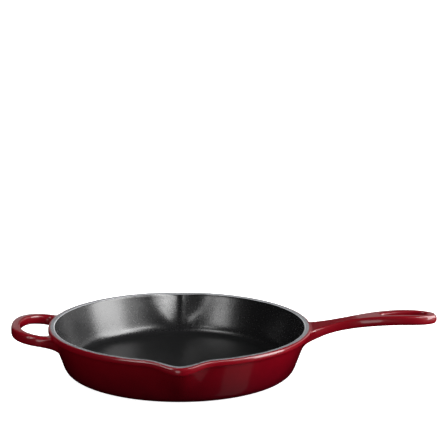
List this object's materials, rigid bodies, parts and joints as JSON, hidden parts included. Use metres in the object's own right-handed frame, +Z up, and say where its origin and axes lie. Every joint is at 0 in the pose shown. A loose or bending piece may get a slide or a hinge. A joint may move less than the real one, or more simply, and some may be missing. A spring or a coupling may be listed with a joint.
{
  "type": "skillet",
  "caption": "Enamelled cast iron skillet: round flared pan with a thick rim, opposed pouring spouts, a long handle with a hanging hole and a loop-shaped helper handle.",
  "frame": {"origin": "on the pan's axis, in the plane of the foot ring that stands on the hob", "axes": "+Z up, out of the pan; +X along the long handle, away from the pan; +Y towards one of the two spouts"},
  "size_m": [0.431, 0.2864, 0.058],
  "materials": {
    "cast_iron": "sand-cast grey iron, covered by enamel all over",
    "red_enamel": "glossy deep cherry red vitreous enamel",
    "black_enamel": "satin black vitreous enamel with a fine grain",
    "grey_enamel": "matt grey ground-coat enamel"
  },
  "bodies": {
    "root": {"floor_casting": "cast_iron", "wall_casting": "cast_iron", "handle_casting": "cast_iron", "helper_handle_casting": "cast_iron", "base_enamel": "red_enamel", "wall_enamel": "red_enamel", "handle_enamel": "red_enamel", "helper_handle_enamel": "red_enamel", "interior_enamel": "black_enamel", "rim_enamel": "grey_enamel"}
  },
  "joints": []
}
